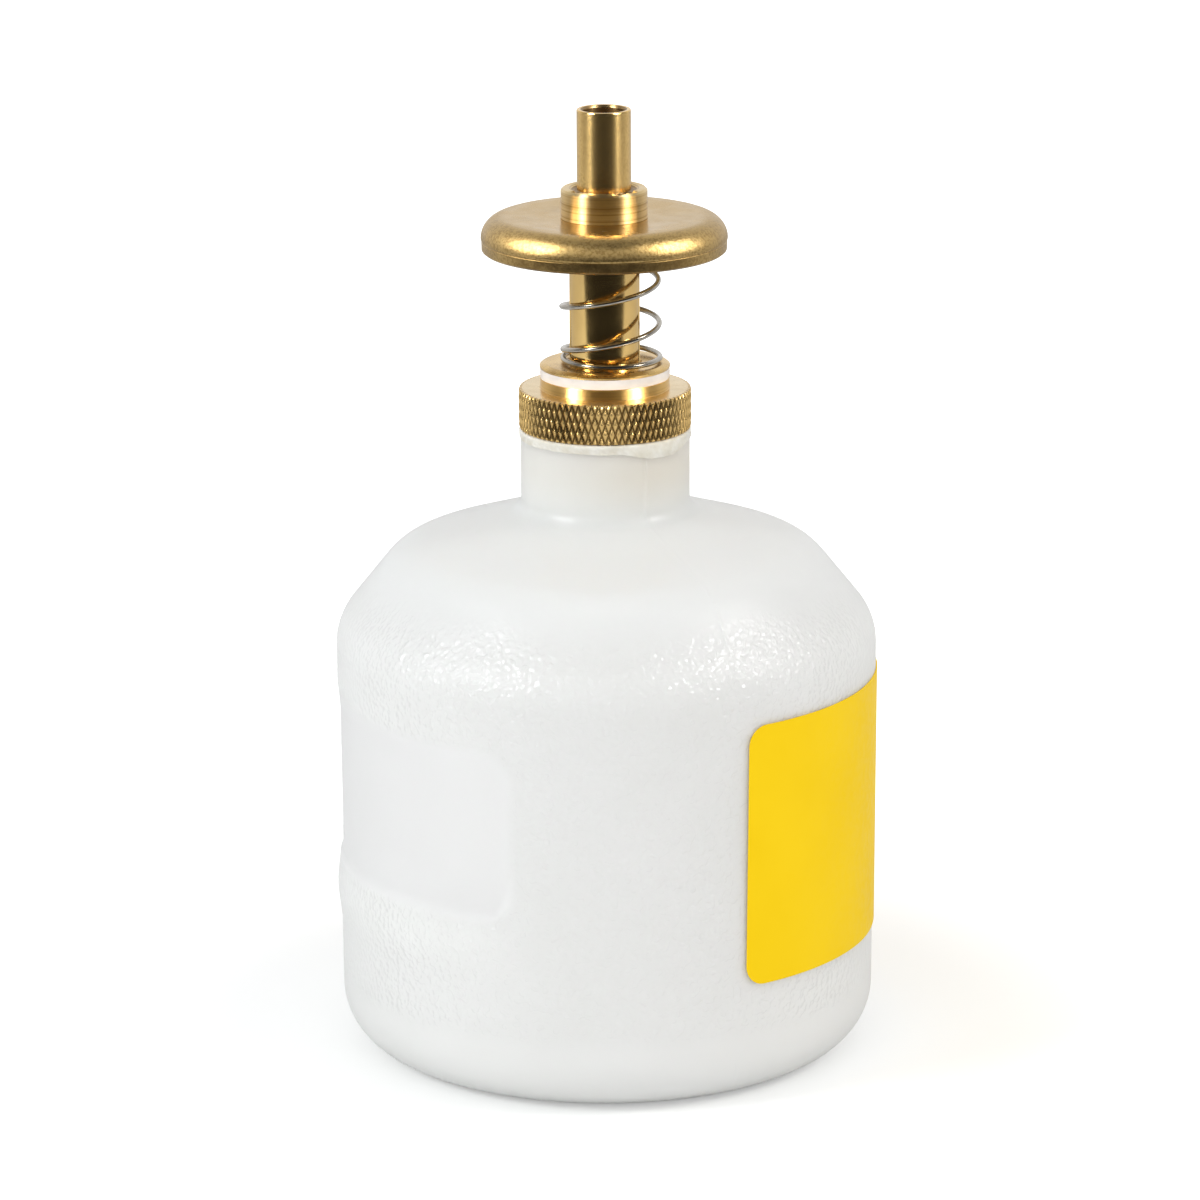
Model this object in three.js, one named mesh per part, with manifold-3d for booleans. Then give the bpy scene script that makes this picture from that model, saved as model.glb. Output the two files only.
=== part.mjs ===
// Dispensing can: a squat polyethylene bottle with a sprung brass push valve screwed into its neck.
// Millimetres, +Z up, origin at the centre of the base. The can stands upright with its valve shut.
// An azimuth is measured in degrees from the front (-Y), growing towards the right (+X).

import * as THREE from 'three';
import { mergeVertices } from 'three/addons/utils/BufferGeometryUtils.js';
import Module from 'manifold-3d';

const wasm = await Module();
wasm.setup();

// Bottle
const FOOT_DIAMETER = 79.4;
const SHOULDER_DIAMETER = 80.1;
const SHOULDER_HEIGHT = 64.6;
const CROWN_DIAMETER = 61.9;
const CROWN_HEIGHT = 75.9;
const NECK_ROOT_HEIGHT = 81.8;
const RIM_HEIGHT = 93.3;
const BOTTLE_WALL = 2.05;
const HEEL_RADIUS = 8.9;
const SHOULDER_RADIUS = 9.0;
const CROWN_RADIUS = 9.5;
const NECK_FILLET = 2.6;
const PUSH_UP_DIAMETER = 46;
const PUSH_UP_HEIGHT = 2.4;
const PUSH_UP_SLOPE = 4;
const PUSH_UP_RADIUS = 1.6;

// Recessed panel on the bottle's wall
const PANEL_AZIMUTH = -61;
const PANEL_WIDTH = 50.8;
const PANEL_HEIGHT = 24.2;
const PANEL_BOTTOM = 29.7;
const PANEL_CORNER = 4;
const PANEL_DEPTH = 0.65;

// Label
const LABEL_AZIMUTH = 119;
const LABEL_LENGTH = 123.5;
const LABEL_HEIGHT = 39.1;
const LABEL_BOTTOM = 18.6;
const LABEL_CORNER = 3;
const LABEL_THICKNESS = 0.2;
const LABEL_GAP = 0.1;

// Fits between the valve's pieces, as radial or axial clearances
const RUNNING_FIT = 0.1;
const FIXED_FIT = 0.06;
const SEAT = 0.1;

// Nozzle tube and stem
const NOZZLE_DIAMETER = 7.94;
const NOZZLE_WALL = 0.8;
const NOZZLE_REACH = 11.6;
const NOZZLE_SOCKET = 5;
const TIP_BEVEL = 0.3;
const SPIGOT_WALL = 0.72;
const SPIGOT_RISE = 2.2;
const STEM_SHOULDER = 0.4;
const STEM_FLOOR = 1;
const STEM_NOSE_DIAMETER = 6;
const PORT_DIAMETER = 3;

// Finger disc and collar
const DISC_DIAMETER = 36.1;
const DISC_THICKNESS = 5.2;
const DISC_TOP_RADIUS = 3.6;
const DISC_BOTTOM_RADIUS = 1.5;
const DISC_DISH = 0.3;
const DISH_DIAMETER = 26;
const DISH_SLOPE = 4;
const COLLAR_WALL = 1.54;
const COLLAR_HEIGHT = 4.3;
const COLLAR_BEVEL = 0.35;

// Valve body, its O-ring and the gasket under its flange
const O_RING_SECTION = 1.6;
const O_RING_DROP = 6;
const BODY_WALL = 1.04;
const BODY_TAIL = 0.9;
const FLANGE_LIP = 0.12;
const FLANGE_THICKNESS = 0.75;
const FLANGE_BEVEL_DROP = 0.4;
const FLANGE_BEVEL_WIDTH = 0.8;
const GASKET_THICKNESS = 1.25;

// Knurled cap and thread tape
const PLUG_WALL = 1.8;
const PLUG_LENGTH = 9;
const RING_OVERHANG = 0.25;
const RING_HEIGHT = 5.95;
const RING_BEVEL = 0.3;
const BOSS_WALL = 1.48;
const BOSS_HEIGHT = 1.6;
const TAPE_WRAP = 0.4;
const TAPE_LIP = 0.4;
const TAPE_SKIRT = 0.9;
const TAPE_SKIRT_GAP = 0.12;
const TAPE_SKIRT_WALL = 0.1;
const TAPE_SHORT = 1;

// Return spring
const WIRE_DIAMETER = 0.81;
const SPRING_CLEARANCE = 1.55;
const SPRING_SPACE = 16.5;
const SPRING_PITCH = 6.4;
const DEAD_COILS = 1;
const COIL_TOUCH = 0.06;
const SPRING_START_AZIMUTH = -124;

// Seal on the stem's lower end
const SEAL_WIDTH = 2.2;
const SEAL_THICKNESS = 1.8;
const RETAINER_THICKNESS = 1.2;
const RETAINER_LIP = 1;
const SCREW_DIAMETER = 3;
const SCREW_HEAD_DIAMETER = 5.6;
const SCREW_HEAD_HEIGHT = 1.8;
const SCREW_LENGTH = 4.4;

// Facets
const BOTTLE_FACETS = 52;
const VALVE_FACETS = 36;
const ARC_STEP = Math.PI / 8;
const WIRE_FACETS = 8;
const COIL_FACETS = 20;
const O_RING_FACETS = 8;
const PORT_FACETS = 16;
const LABEL_FACETS = 36;
const CORNER_FACETS = 5;

// Radii that follow from the nozzle tube outwards
const nozzleRadius = NOZZLE_DIAMETER / 2;
const boreRadius = nozzleRadius - NOZZLE_WALL;
const socketRadius = nozzleRadius + FIXED_FIT;
const spigotRadius = socketRadius + SPIGOT_WALL;
const stemRadius = spigotRadius + STEM_SHOULDER;
const collarRadius = spigotRadius + FIXED_FIT + COLLAR_WALL;
const guideRadius = stemRadius + RUNNING_FIT;
const grooveRadius = guideRadius + O_RING_SECTION + FIXED_FIT;
const bodyRadius = grooveRadius + BODY_WALL;
const capBoreRadius = bodyRadius + FIXED_FIT;
const plugRadius = capBoreRadius + PLUG_WALL;
const bossRadius = capBoreRadius + BOSS_WALL;
const flangeRadius = bossRadius + FLANGE_LIP;
const tapeInnerRadius = plugRadius + RUNNING_FIT;
const tapeOuterRadius = tapeInnerRadius + TAPE_WRAP;
const neckBoreRadius = tapeOuterRadius + RUNNING_FIT;
const neckRadius = neckBoreRadius + BOTTLE_WALL;
const ringRadius = neckRadius + RING_OVERHANG;
const coilRadius = stemRadius + SPRING_CLEARANCE + WIRE_DIAMETER / 2;

// Heights that follow from the rim upwards
const tapeLipHeight = RIM_HEIGHT + SEAT;
const ringHeight = tapeLipHeight + TAPE_LIP + SEAT;
const gasketHeight = ringHeight + RING_HEIGHT + BOSS_HEIGHT + SEAT;
const flangeHeight = gasketHeight + GASKET_THICKNESS + SEAT;
const springHeight = flangeHeight + FLANGE_THICKNESS + SEAT;
const discHeight = springHeight + SPRING_SPACE;
const collarHeight = discHeight + DISC_THICKNESS - DISC_DISH + SEAT;
const nozzleTop = collarHeight + COLLAR_HEIGHT + NOZZLE_REACH;
const socketFloor = discHeight - NOZZLE_SOCKET;
const spigotTop = collarHeight + SPIGOT_RISE;

// Heights inside the neck, from the plug's lower end
const valveSeatHeight = ringHeight - PLUG_LENGTH - BODY_TAIL;
const sealTop = valveSeatHeight - SEAT;
const noseHeight = sealTop - SEAL_THICKNESS;
const retainerHeight = noseHeight - SEAT - RETAINER_THICKNESS;
const screwHeight = retainerHeight - SEAT - SCREW_HEAD_HEIGHT;
const stemLedge = sealTop + SEAT;
const screwHoleTop = screwHeight + SCREW_HEAD_HEIGHT + SCREW_LENGTH + SEAT;
const boreFloor = screwHoleTop + STEM_FLOOR;
const portHeight = boreFloor + PORT_DIAMETER / 2;

const MATERIALS = {
  polyethylene: new THREE.MeshStandardMaterial({ color: 0xeceeeb, roughness: 0.45, metalness: 0 }),
  labelFilm: new THREE.MeshStandardMaterial({ color: 0xfbd41c, roughness: 0.4, metalness: 0 }),
  tape: new THREE.MeshStandardMaterial({ color: 0xf3f2ec, roughness: 0.7, metalness: 0 }),
  gasket: new THREE.MeshStandardMaterial({ color: 0xf1e9e6, roughness: 0.6, metalness: 0 }),
  turnedBrass: new THREE.MeshStandardMaterial({ color: 0xc79a4b, roughness: 0.2, metalness: 1 }),
  satinBrass: new THREE.MeshStandardMaterial({ color: 0xb48a45, roughness: 0.4, metalness: 1 }),
  springSteel: new THREE.MeshStandardMaterial({ color: 0xb9b8b4, roughness: 0.25, metalness: 1 }),
  rubber: new THREE.MeshStandardMaterial({ color: 0x1c1c1c, roughness: 0.7, metalness: 0 }),
};

// Turns the corners [r, z, radius] of an outline into points, with an arc where a corner has a radius.
function roundCorners(corners) {
  const points = [];
  corners.forEach(([r, z, radius = 0], i) => {
    const corner = new THREE.Vector2(r, z);
    if (radius === 0) {
      points.push(corner);
      return;
    }
    const back = new THREE.Vector2(corners[i - 1][0], corners[i - 1][1]).sub(corner);
    const ahead = new THREE.Vector2(corners[i + 1][0], corners[i + 1][1]).sub(corner);
    const room = Math.min(back.length(), ahead.length());
    back.normalize();
    ahead.normalize();
    const half = Math.acos(THREE.MathUtils.clamp(back.dot(ahead), -1, 1)) / 2;
    const reach = Math.min(radius / Math.tan(half), room);
    const arcRadius = reach * Math.tan(half);
    const centre = back.clone().add(ahead).setLength(arcRadius / Math.sin(half)).add(corner);
    const start = back.multiplyScalar(reach).add(corner).sub(centre).angle();
    const end = ahead.multiplyScalar(reach).add(corner).sub(centre).angle();
    const turn = end - start;
    const sweep = Math.atan2(Math.sin(turn), Math.cos(turn));
    const steps = Math.max(2, Math.ceil(Math.abs(sweep) / ARC_STEP));
    for (let k = 0; k <= steps; k += 1) {
      const angle = start + (sweep * k) / steps;
      points.push(new THREE.Vector2(Math.cos(angle), Math.sin(angle)).multiplyScalar(arcRadius).add(centre));
    }
  });
  return points;
}

// Spins points in the (r, z) plane about the Z axis.
function spin(points, facets) {
  return new THREE.LatheGeometry(points, facets).rotateX(Math.PI / 2);
}

// Spins a solid whose outline starts and ends on the axis.
function revolveSolid(corners, facets = VALVE_FACETS) {
  return spin(roundCorners(corners), facets);
}

// Spins a ring whose outline closes on itself.
function revolveRing(corners, facets = VALVE_FACETS) {
  const points = roundCorners(corners);
  return spin([...points, points[0].clone()], facets);
}

// Shifts an open outline to its left by a wall thickness, with each corner's radius changed to stay parallel.
function insetOutline(corners, wall) {
  const sides = corners.slice(1).map(([r, z], i) => {
    const along = new THREE.Vector2(r - corners[i][0], z - corners[i][1]).normalize();
    const left = new THREE.Vector2(-along.y, along.x);
    return { along, left, from: new THREE.Vector2(corners[i][0], corners[i][1]).addScaledVector(left, wall) };
  });
  return corners.map(([r, z, radius = 0], i) => {
    if (i === 0) {
      return [r, z + wall];
    }
    const side = sides[i - 1];
    if (i === sides.length) {
      return [r + side.left.x * wall, z + side.left.y * wall];
    }
    const next = sides[i];
    const turn = side.along.cross(next.along);
    const reach = next.from.clone().sub(side.from).cross(next.along) / turn;
    const meeting = side.from.clone().addScaledVector(side.along, reach);
    const inner = Math.max(radius - Math.sign(turn) * wall, wall / 4);
    return [meeting.x, meeting.y, inner];
  });
}

// Makes a manifold solid from a closed geometry, without the slivers that a lathe leaves on its axis.
function toSolid(geometry) {
  const bare = geometry.clone();
  bare.deleteAttribute('normal');
  bare.deleteAttribute('uv');
  const merged = mergeVertices(bare);
  const triangles = [];
  for (let i = 0; i < merged.index.count; i += 3) {
    const corners = [0, 1, 2].map((k) => merged.index.getX(i + k));
    if (new Set(corners).size === 3) {
      triangles.push(...corners);
    }
  }
  const vertProperties = new Float32Array(merged.attributes.position.array);
  const triVerts = new Uint32Array(triangles);
  return new wasm.Manifold(new wasm.Mesh({ numProp: 3, vertProperties, triVerts }));
}

function toGeometry(solid) {
  const mesh = solid.getMesh();
  const geometry = new THREE.BufferGeometry();
  geometry.setAttribute('position', new THREE.BufferAttribute(mesh.vertProperties, 3));
  geometry.setIndex(new THREE.BufferAttribute(mesh.triVerts, 1));
  geometry.computeVertexNormals();
  return geometry;
}

function part(name, geometry, material, height = 0) {
  const mesh = new THREE.Mesh(geometry, material);
  mesh.name = name;
  mesh.position.z = height;
  return mesh;
}

function wallRadiusAt(height) {
  return (FOOT_DIAMETER + ((SHOULDER_DIAMETER - FOOT_DIAMETER) * height) / SHOULDER_HEIGHT) / 2;
}

function bottleOutline() {
  const ringInner = PUSH_UP_DIAMETER / 2;
  return [
    [0, PUSH_UP_HEIGHT],
    [ringInner - PUSH_UP_SLOPE, PUSH_UP_HEIGHT, PUSH_UP_RADIUS],
    [ringInner, 0, PUSH_UP_RADIUS],
    [FOOT_DIAMETER / 2, 0, HEEL_RADIUS],
    [SHOULDER_DIAMETER / 2, SHOULDER_HEIGHT, SHOULDER_RADIUS],
    [CROWN_DIAMETER / 2, CROWN_HEIGHT, CROWN_RADIUS],
    [neckRadius, NECK_ROOT_HEIGHT, NECK_FILLET],
    [neckRadius, RIM_HEIGHT],
  ];
}

// A block of the panel's rounded outline, kept only where it lies outside the recess floor.
function panelCutter() {
  const left = -PANEL_WIDTH / 2;
  const outline = new THREE.Shape();
  outline.moveTo(left + PANEL_CORNER, 0);
  outline.lineTo(-left - PANEL_CORNER, 0);
  outline.absarc(-left - PANEL_CORNER, PANEL_CORNER, PANEL_CORNER, -Math.PI / 2, 0);
  outline.absarc(-left - PANEL_CORNER, PANEL_HEIGHT - PANEL_CORNER, PANEL_CORNER, 0, Math.PI / 2);
  outline.absarc(left + PANEL_CORNER, PANEL_HEIGHT - PANEL_CORNER, PANEL_CORNER, Math.PI / 2, Math.PI);
  outline.absarc(left + PANEL_CORNER, PANEL_CORNER, PANEL_CORNER, Math.PI, Math.PI * 1.5);
  const block = new THREE.ExtrudeGeometry(outline, {
    depth: SHOULDER_DIAMETER,
    bevelEnabled: false,
    curveSegments: CORNER_FACETS,
  });
  block.rotateX(Math.PI / 2);
  block.translate(0, 0, PANEL_BOTTOM);
  block.rotateZ(THREE.MathUtils.degToRad(PANEL_AZIMUTH));
  const floorBelow = wallRadiusAt(0) - PANEL_DEPTH;
  const floorAbove = wallRadiusAt(SHOULDER_HEIGHT) - PANEL_DEPTH;
  const outside = SHOULDER_DIAMETER;
  const shell = revolveRing(
    [
      [floorBelow, 0],
      [outside, 0],
      [outside, SHOULDER_HEIGHT],
      [floorAbove, SHOULDER_HEIGHT],
    ],
    BOTTLE_FACETS,
  );
  return toSolid(block).intersect(toSolid(shell));
}

function makeBottle() {
  const outer = bottleOutline();
  const inner = insetOutline(outer, BOTTLE_WALL);
  const wall = spin([...roundCorners(outer), ...roundCorners(inner).reverse()], BOTTLE_FACETS);
  const bottle = toGeometry(toSolid(wall).subtract(panelCutter()));
  return part('bottle', bottle, MATERIALS.polyethylene);
}

// A flat strip with round corners, bent round the wall.
function makeLabel() {
  const strip = new THREE.BoxGeometry(2, 2, 1, LABEL_FACETS, 1, 1);
  const place = strip.attributes.position;
  const halfLength = LABEL_LENGTH / 2;
  const halfHeight = LABEL_HEIGHT / 2;
  for (let i = 0; i < place.count; i += 1) {
    // Columns crowd towards both ends, where the corners are.
    const along = Math.sin((place.getX(i) * Math.PI) / 2) * halfLength;
    const intoCorner = Math.max(0, Math.abs(along) - (halfLength - LABEL_CORNER));
    const lost = LABEL_CORNER - Math.sqrt(Math.max(0, LABEL_CORNER ** 2 - intoCorner ** 2));
    const height = LABEL_BOTTOM + halfHeight + place.getY(i) * (halfHeight - lost);
    const radius = wallRadiusAt(height) + LABEL_GAP + (place.getZ(i) + 0.5) * LABEL_THICKNESS;
    const azimuth = THREE.MathUtils.degToRad(LABEL_AZIMUTH) + along / wallRadiusAt(height);
    place.setXYZ(i, radius * Math.sin(azimuth), -radius * Math.cos(azimuth), height);
  }
  strip.computeVertexNormals();
  return part('label', strip, MATERIALS.labelFilm);
}

// Tape wound on the plug's thread, squeezed out over the rim and folded a little way down the neck.
function makeThreadTape() {
  const skirtInner = neckRadius + TAPE_SKIRT_GAP;
  const skirtOuter = skirtInner + TAPE_SKIRT_WALL;
  const tape = revolveRing([
    [tapeInnerRadius, TAPE_SHORT - PLUG_LENGTH],
    [tapeOuterRadius, TAPE_SHORT - PLUG_LENGTH],
    [tapeOuterRadius, 0],
    [skirtInner, 0],
    [skirtInner, -TAPE_SKIRT],
    [skirtOuter, -TAPE_SKIRT],
    [skirtOuter, TAPE_LIP],
    [tapeInnerRadius, TAPE_LIP],
  ]);
  return part('thread_tape', tape, MATERIALS.tape, tapeLipHeight);
}

function makeKnurledCap() {
  const bossTop = RING_HEIGHT + BOSS_HEIGHT;
  const cap = revolveRing([
    [capBoreRadius, -PLUG_LENGTH],
    [plugRadius, -PLUG_LENGTH],
    [plugRadius, 0],
    [ringRadius - RING_BEVEL, 0],
    [ringRadius, RING_BEVEL],
    [ringRadius, RING_HEIGHT - RING_BEVEL],
    [ringRadius - RING_BEVEL, RING_HEIGHT],
    [bossRadius, RING_HEIGHT],
    [bossRadius, bossTop],
    [capBoreRadius, bossTop],
  ]);
  return part('knurled_cap', cap, MATERIALS.turnedBrass, ringHeight);
}

function makeCapGasket() {
  const gasket = revolveRing([
    [capBoreRadius, 0],
    [bossRadius, 0],
    [bossRadius, GASKET_THICKNESS],
    [capBoreRadius, GASKET_THICKNESS],
  ]);
  return part('cap_gasket', gasket, MATERIALS.gasket, gasketHeight);
}

// Bush with a flange on top, a valve seat at its lower end and a groove for the O-ring.
function makeValveBody() {
  const seat = valveSeatHeight - flangeHeight;
  const grooveHalf = O_RING_SECTION / 2 + FIXED_FIT;
  const body = revolveRing([
    [guideRadius, seat],
    [bodyRadius, seat],
    [bodyRadius, 0],
    [flangeRadius, 0],
    [flangeRadius, FLANGE_THICKNESS - FLANGE_BEVEL_DROP],
    [flangeRadius - FLANGE_BEVEL_WIDTH, FLANGE_THICKNESS],
    [guideRadius, FLANGE_THICKNESS],
    [guideRadius, grooveHalf - O_RING_DROP],
    [grooveRadius, grooveHalf - O_RING_DROP],
    [grooveRadius, -grooveHalf - O_RING_DROP],
    [guideRadius, -grooveHalf - O_RING_DROP],
  ]);
  return part('valve_body', body, MATERIALS.turnedBrass, flangeHeight);
}

function makeStemORing() {
  const centre = guideRadius + O_RING_SECTION / 2;
  const ring = new THREE.TorusGeometry(centre, O_RING_SECTION / 2, O_RING_FACETS, VALVE_FACETS);
  return part('stem_o_ring', ring, MATERIALS.rubber, flangeHeight - O_RING_DROP);
}

// Wire path of a compression spring with closed ends, rising to the right at the front.
class SpringPath extends THREE.Curve {
  constructor() {
    super();
    this.deadPitch = WIRE_DIAMETER + COIL_TOUCH;
    const rise = SPRING_SPACE - 2 * SEAT - WIRE_DIAMETER;
    this.openCoils = (rise - 2 * DEAD_COILS * this.deadPitch) / SPRING_PITCH;
    this.coils = this.openCoils + 2 * DEAD_COILS;
  }

  heightAt(coil) {
    const open = THREE.MathUtils.clamp(coil - DEAD_COILS, 0, this.openCoils);
    return (coil - open) * this.deadPitch + open * SPRING_PITCH;
  }

  getPoint(t, target = new THREE.Vector3()) {
    const coil = t * this.coils;
    const azimuth = THREE.MathUtils.degToRad(SPRING_START_AZIMUTH) + coil * Math.PI * 2;
    return target.set(coilRadius * Math.sin(azimuth), -coilRadius * Math.cos(azimuth), this.heightAt(coil));
  }
}

function makeReturnSpring() {
  const path = new SpringPath();
  const wire = new THREE.Shape();
  wire.absarc(0, 0, WIRE_DIAMETER / 2, 0, Math.PI * 2);
  const spring = new THREE.ExtrudeGeometry(wire, {
    steps: Math.round(path.coils * COIL_FACETS),
    curveSegments: WIRE_FACETS / 2,
    extrudePath: path,
  });
  return part('return_spring', spring, MATERIALS.springSteel, springHeight + SEAT + WIRE_DIAMETER / 2);
}

// Hollow stem: a socket for the nozzle tube at the top, cross ports and a closed end with a screw hole below.
function makeStem() {
  const noseRadius = STEM_NOSE_DIAMETER / 2;
  const screwHoleRadius = SCREW_DIAMETER / 2 + FIXED_FIT;
  const turned = revolveSolid([
    [0, screwHoleTop],
    [screwHoleRadius, screwHoleTop],
    [screwHoleRadius, noseHeight],
    [noseRadius, noseHeight],
    [noseRadius, stemLedge],
    [stemRadius, stemLedge],
    [stemRadius, discHeight - SEAT],
    [spigotRadius, discHeight - SEAT],
    [spigotRadius, spigotTop],
    [socketRadius, spigotTop],
    [socketRadius, socketFloor],
    [boreRadius, socketFloor],
    [boreRadius, boreFloor],
    [0, boreFloor],
  ]);
  const portRadius = PORT_DIAMETER / 2;
  const drillLength = stemRadius * 3;
  const frontToBack = new THREE.CylinderGeometry(portRadius, portRadius, drillLength, PORT_FACETS);
  frontToBack.translate(0, 0, portHeight);
  const sideToSide = frontToBack.clone().rotateZ(Math.PI / 2);
  const stem = toSolid(turned).subtract(toSolid(frontToBack)).subtract(toSolid(sideToSide));
  return part('stem', toGeometry(stem), MATERIALS.turnedBrass);
}

function makeNozzleTube() {
  const length = nozzleTop - socketFloor - SEAT;
  const tube = revolveRing([
    [boreRadius, 0],
    [nozzleRadius, 0],
    [nozzleRadius, length - TIP_BEVEL],
    [nozzleRadius - TIP_BEVEL, length],
    [boreRadius, length],
  ]);
  return part('nozzle_tube', tube, MATERIALS.turnedBrass, socketFloor + SEAT);
}

function makeFingerDisc() {
  const boss = DISC_THICKNESS - DISC_DISH;
  const disc = revolveRing(
    [
      [spigotRadius + FIXED_FIT, 0],
      [DISC_DIAMETER / 2, 0, DISC_BOTTOM_RADIUS],
      [DISC_DIAMETER / 2, DISC_THICKNESS, DISC_TOP_RADIUS],
      [DISH_DIAMETER / 2, DISC_THICKNESS],
      [DISH_DIAMETER / 2 - DISH_SLOPE, boss],
      [spigotRadius + FIXED_FIT, boss],
    ],
    BOTTLE_FACETS,
  );
  return part('finger_disc', disc, MATERIALS.satinBrass, discHeight);
}

function makeCollar() {
  const ledge = SPIGOT_RISE + SEAT;
  const collar = revolveRing([
    [spigotRadius + FIXED_FIT, 0],
    [collarRadius, 0],
    [collarRadius, COLLAR_HEIGHT - COLLAR_BEVEL],
    [collarRadius - COLLAR_BEVEL, COLLAR_HEIGHT],
    [socketRadius, COLLAR_HEIGHT],
    [socketRadius, ledge],
    [spigotRadius + FIXED_FIT, ledge],
  ]);
  return part('collar', collar, MATERIALS.turnedBrass, collarHeight);
}

function makeValveSeal() {
  const inner = STEM_NOSE_DIAMETER / 2 + FIXED_FIT;
  const outer = guideRadius + SEAL_WIDTH;
  const seal = revolveRing([
    [inner, 0],
    [outer, 0],
    [outer, SEAL_THICKNESS],
    [inner, SEAL_THICKNESS],
  ]);
  return part('valve_seal', seal, MATERIALS.rubber, noseHeight);
}

function makeSealRetainer() {
  const inner = SCREW_DIAMETER / 2 + FIXED_FIT;
  const outer = guideRadius + RETAINER_LIP;
  const retainer = revolveRing([
    [inner, 0],
    [outer - RETAINER_THICKNESS / 2, 0],
    [outer, RETAINER_THICKNESS / 2],
    [outer, RETAINER_THICKNESS],
    [inner, RETAINER_THICKNESS],
  ]);
  return part('seal_retainer', retainer, MATERIALS.turnedBrass, retainerHeight);
}

function makeRetainerScrew() {
  const headRadius = SCREW_HEAD_DIAMETER / 2;
  const screw = revolveSolid([
    [0, 0],
    [headRadius, 0, SCREW_HEAD_HEIGHT / 2],
    [headRadius, SCREW_HEAD_HEIGHT],
    [SCREW_DIAMETER / 2, SCREW_HEAD_HEIGHT],
    [SCREW_DIAMETER / 2, SCREW_HEAD_HEIGHT + SCREW_LENGTH],
    [0, SCREW_HEAD_HEIGHT + SCREW_LENGTH],
  ]);
  return part('retainer_screw', screw, MATERIALS.turnedBrass, screwHeight);
}

const can = new THREE.Group();
can.add(makeBottle(), makeLabel(), makeThreadTape());

const cap = new THREE.Group();
cap.add(makeKnurledCap(), makeCapGasket(), makeValveBody(), makeStemORing(), makeReturnSpring());

const plunger = new THREE.Group();
plunger.add(makeStem(), makeNozzleTube(), makeFingerDisc(), makeCollar());
plunger.add(makeValveSeal(), makeSealRetainer(), makeRetainerScrew());

const dispensingCan = new THREE.Group();
dispensingCan.add(can, cap, plunger);

export default dispensingCan;
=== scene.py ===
"""Looks of the dispensing can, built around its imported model.

Sizes are in millimetres until a mesh is made. An azimuth is measured from the front (-Y) towards the right (+X).
"""

import math

import bpy
import numpy as np
from mathutils import Matrix, Vector


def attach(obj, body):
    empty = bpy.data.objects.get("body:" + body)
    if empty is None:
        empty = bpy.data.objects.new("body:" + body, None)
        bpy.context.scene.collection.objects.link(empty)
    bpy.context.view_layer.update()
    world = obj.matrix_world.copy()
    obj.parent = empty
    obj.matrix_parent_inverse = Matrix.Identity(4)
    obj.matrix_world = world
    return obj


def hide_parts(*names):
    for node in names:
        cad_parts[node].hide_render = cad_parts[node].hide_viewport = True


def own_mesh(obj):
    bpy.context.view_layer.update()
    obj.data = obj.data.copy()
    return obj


MM = 0.001

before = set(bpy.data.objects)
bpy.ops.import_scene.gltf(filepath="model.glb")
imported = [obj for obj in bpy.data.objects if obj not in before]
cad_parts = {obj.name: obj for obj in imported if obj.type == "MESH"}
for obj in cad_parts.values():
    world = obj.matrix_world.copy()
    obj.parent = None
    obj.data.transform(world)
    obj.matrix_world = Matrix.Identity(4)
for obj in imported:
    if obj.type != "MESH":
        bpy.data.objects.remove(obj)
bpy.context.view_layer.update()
scene = bpy.context.scene


# Shapes


def smooth(low, high, value):
    """Rises from 0 at low to 1 at high, with no kink."""
    t = np.clip((value - low) / (high - low), 0.0, 1.0)
    return t * t * (3 - 2 * t)


def bell(centre, width, value):
    """Falls from 1 at the centre towards 0 on both sides."""
    return np.exp(-(((value - centre) / width) ** 2))


def wrapped(angle):
    """The same angle between -pi and pi."""
    return (angle + math.pi) % (2 * math.pi) - math.pi


def ripple(angle, height, seed, waves=7):
    """A smooth random wave round the axis, from a seed, between about -1 and 1."""
    draw = np.random.default_rng(seed)
    total = np.zeros_like(angle)
    for _ in range(waves):
        turns = draw.integers(2, 15)
        total = total + draw.uniform(0.3, 1.0) * np.sin(
            turns * angle + height * draw.uniform(-0.6, 0.6) + draw.uniform(0, 6.28)
        )
    return total / math.sqrt(waves)


def rounded(corners, closed=True, step=9.0):
    """Points of an outline of corners (r, z, radius), with an arc at each corner that has a radius."""
    points = []
    count = len(corners)
    for i, corner in enumerate(corners):
        here = np.array(corner[:2], float)
        radius = corner[2] if len(corner) > 2 else 0
        if radius == 0 or (not closed and i in (0, count - 1)):
            points.append(here)
            continue
        back = np.array(corners[i - 1][:2], float) - here
        ahead = np.array(corners[(i + 1) % count][:2], float) - here
        back_length, ahead_length = np.linalg.norm(back), np.linalg.norm(ahead)
        back, ahead = back / back_length, ahead / ahead_length
        half = math.acos(max(-1.0, min(1.0, float(back @ ahead)))) / 2
        reach = min(radius / math.tan(half), back_length, ahead_length)
        arc = reach * math.tan(half)
        middle = (back + ahead) / np.linalg.norm(back + ahead)
        centre = here + middle * arc / math.sin(half)
        first, last = here + back * reach - centre, here + ahead * reach - centre
        start = math.atan2(first[1], first[0])
        sweep = float(wrapped(math.atan2(last[1], last[0]) - start))
        steps = max(2, math.ceil(abs(math.degrees(sweep)) / step))
        for k in range(steps + 1):
            angle = start + sweep * k / steps
            points.append(centre + arc * np.array([math.cos(angle), math.sin(angle)]))
    return np.array(points)


def refined(points, spacing, closed=True):
    """The same outline with no side longer than spacing."""
    found = []
    count = len(points)
    for i in range(count if closed else count - 1):
        start, end = points[i], points[(i + 1) % count]
        pieces = max(1, math.ceil(np.linalg.norm(end - start) / spacing))
        found.extend(start + (end - start) * k / pieces for k in range(pieces))
    if not closed:
        found.append(points[-1])
    return np.array(found)


def even_azimuths(count):
    """Azimuths of columns that are all the same distance apart."""
    return np.linspace(-math.pi, math.pi, count, endpoint=False)


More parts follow.
